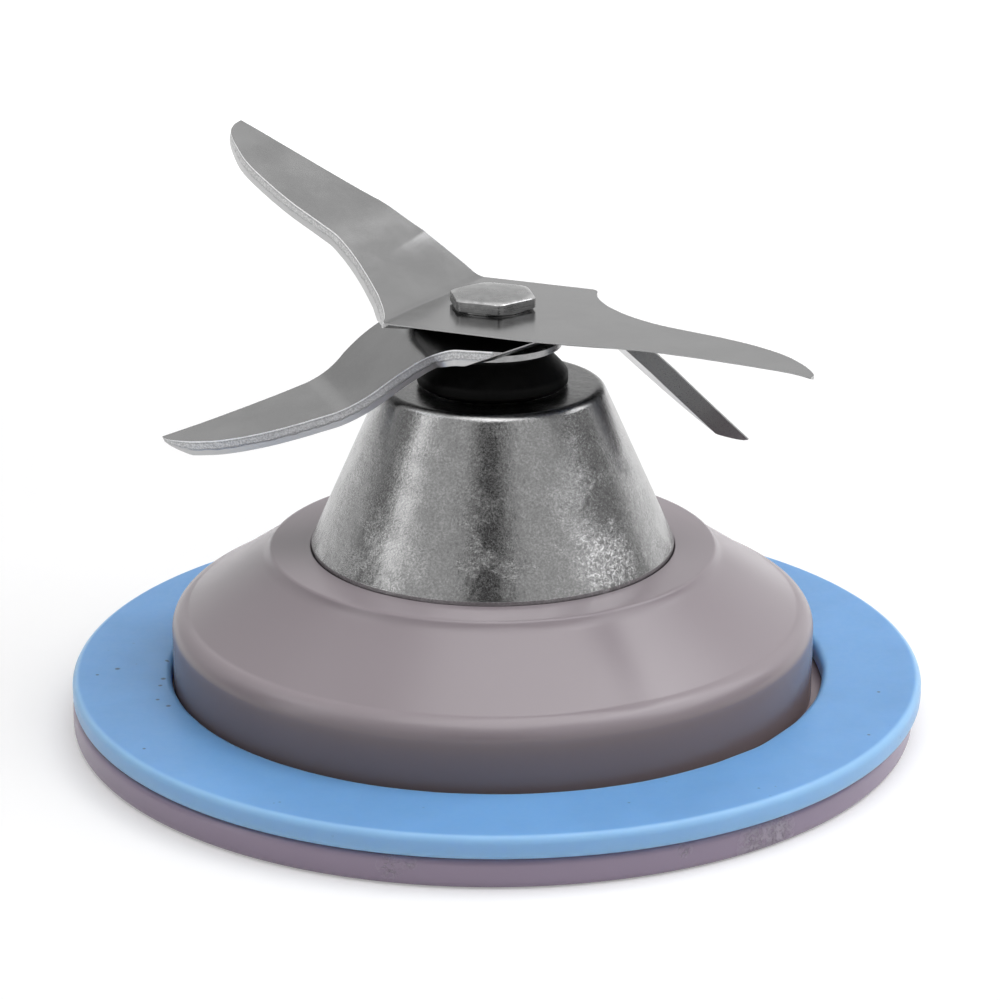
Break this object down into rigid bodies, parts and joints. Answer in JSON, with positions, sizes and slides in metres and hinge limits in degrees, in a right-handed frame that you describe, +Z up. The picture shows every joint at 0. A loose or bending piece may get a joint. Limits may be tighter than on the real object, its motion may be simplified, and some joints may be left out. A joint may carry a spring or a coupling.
{
  "type": "blender blade assembly",
  "caption": "Blade unit for a kitchen blender jar: crossed stamped blades on a sealed shaft, a metal bearing cone, a flanged plastic collar, a loose sealing ring and a drive socket.",
  "frame": {"origin": "on the shaft's axis, in the plane of the flange's bottom face", "axes": "+Z up along the shaft towards the blades, +X to the right and +Y away in the picture's view"},
  "size_m": [0.07, 0.07, 0.0457],
  "materials": {
    "moulding": "glossy grey-brown moulding, lightly scuffed at the rim",
    "gasket": "light-blue satin silicone",
    "housing": "mottled, worn plated metal",
    "blades": "satin stainless with sheared, rough edges",
    "steel": "turned steel",
    "black_rubber": "satin black rubber",
    "bronze": "oil-soaked sintered bronze",
    "felt": "oiled felt",
    "coupling": "sintered metal"
  },
  "bodies": {
    "base": {"base_collar": "moulding", "sealing_gasket": "gasket", "bearing_housing": "housing", "housing_gasket": "black_rubber", "housing_washer": "steel", "housing_nut": "steel", "upper_bushing": "bronze", "lower_bushing": "bronze", "oil_felt": "felt", "shaft_seal": "black_rubber"},
    "rotor": {"drive_shaft": "steel", "upper_blade": "blades", "lower_blade": "blades", "blade_washer": "steel", "slinger_seal": "black_rubber", "thrust_washer": "steel", "retaining_clip": "steel", "drive_coupling": "coupling"}
  },
  "joints": [
    {"name": "blade_spin", "type": "hinge", "parent": "base", "child": "rotor", "pos_m": [0, 0, 0.0212], "axis": [0, 0, 1], "continuous": true}
  ]
}
